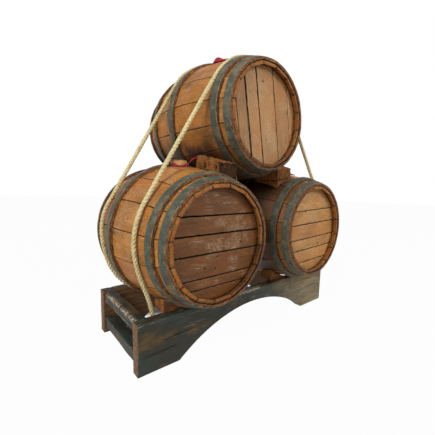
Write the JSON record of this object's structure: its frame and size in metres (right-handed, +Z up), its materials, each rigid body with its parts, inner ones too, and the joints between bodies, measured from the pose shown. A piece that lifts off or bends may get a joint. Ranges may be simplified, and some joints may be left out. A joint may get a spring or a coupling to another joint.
{
  "type": "cask dispenser",
  "caption": "Small oak casks stacked on an arched wooden stand and lashed with rope, each with a bung on top and a turned wooden spigot on its far head.",
  "frame": {"origin": "on the floor, in the middle of the footprint of the whole object without its ropes", "axes": "+X along the stand's rails, +Y from the plain cask heads to the heads with the spigots, +Z up"},
  "size_m": [0.508, 0.362, 0.5313],
  "materials": {
    "stand_wood": "old dark oak, weathered, worn pale on its edges",
    "block_wood": "rough split oak, bare",
    "hoop_iron": "old iron band with a dull green-grey patina, worn at the edges",
    "stave_oak": "aged orange-brown oak, waxed, with dark joints",
    "head_oak": "aged brown oak boards, scuffed",
    "bung_wood": "bare tan wood",
    "bung_cloth": "crimson cotton, matt",
    "spigot_wood": "turned wood, oiled",
    "rope_fibre": "pale twisted hemp rope",
    "staple_wire": "dull iron wire"
  },
  "bodies": {
    "root": {"back_chocks": "block_wood", "back_cradle_blocks": "block_wood", "back_rail": "stand_wood", "back_rope": "rope_fibre", "front_chocks": "block_wood", "front_cradle_blocks": "block_wood", "front_rail": "stand_wood", "front_rope": "rope_fibre", "left_back_chime_hoop": "hoop_iron", "left_back_head": "head_oak", "left_back_quarter_hoop": "hoop_iron", "left_bilge_hoop": "hoop_iron", "left_bung_stave": "stave_oak", "left_front_chime_hoop": "hoop_iron", "left_front_head": "head_oak", "left_front_quarter_hoop": "hoop_iron", "left_lower_rung": "stand_wood", "left_spigot_body": "spigot_wood", "left_staves": "stave_oak", "left_upper_rung": "stand_wood", "right_back_chime_hoop": "hoop_iron", "right_back_head": "head_oak", "right_back_quarter_hoop": "hoop_iron", "right_bilge_hoop": "hoop_iron", "right_bung_stave": "stave_oak", "right_front_chime_hoop": "hoop_iron", "right_front_head": "head_oak", "right_front_quarter_hoop": "hoop_iron", "right_lower_rung": "stand_wood", "right_spigot_body": "spigot_wood", "right_staves": "stave_oak", "right_upper_rung": "stand_wood", "rope_staples": "staple_wire", "upper_back_chime_hoop": "hoop_iron", "upper_back_head": "head_oak", "upper_back_quarter_hoop": "hoop_iron", "upper_bilge_hoop": "hoop_iron", "upper_bung_stave": "stave_oak", "upper_front_chime_hoop": "hoop_iron", "upper_front_head": "head_oak", "upper_front_quarter_hoop": "hoop_iron", "upper_spigot_body": "spigot_wood", "upper_staves": "stave_oak"},
    "left_bung": {"left_bung": "bung_wood", "left_bung_cloth": "bung_cloth"},
    "left_spigot_key": {"left_spigot_key": "spigot_wood"},
    "right_bung": {"right_bung": "bung_wood", "right_bung_cloth": "bung_cloth"},
    "right_spigot_key": {"right_spigot_key": "spigot_wood"},
    "upper_bung": {"upper_bung": "bung_wood", "upper_bung_cloth": "bung_cloth"},
    "upper_spigot_key": {"upper_spigot_key": "spigot_wood"}
  },
  "joints": [
    {"name": "left_bung_pull", "type": "slide", "parent": "root", "child": "left_bung", "axis": [-0.0523, 0, 0.9986], "range_m": [0, 0.035]},
    {"name": "left_spigot_turn", "type": "hinge", "parent": "root", "child": "left_spigot_key", "pos_m": [-0.1263, 0.122, 0.136], "axis": [0, 0, 1], "range_deg": [0, 90]},
    {"name": "right_bung_pull", "type": "slide", "parent": "root", "child": "right_bung", "axis": [0, 0, 1], "range_m": [0, 0.035]},
    {"name": "right_spigot_turn", "type": "hinge", "parent": "root", "child": "right_spigot_key", "pos_m": [0.1263, 0.122, 0.136], "axis": [0, 0, 1], "range_deg": [0, 90]},
    {"name": "upper_bung_pull", "type": "slide", "parent": "root", "child": "upper_bung", "axis": [-0.0523, 0, 0.9986], "range_m": [0, 0.035]},
    {"name": "upper_spigot_turn", "type": "hinge", "parent": "root", "child": "upper_spigot_key", "pos_m": [0.002, 0.152, 0.3465], "axis": [0, 0, 1], "range_deg": [0, 90]}
  ]
}
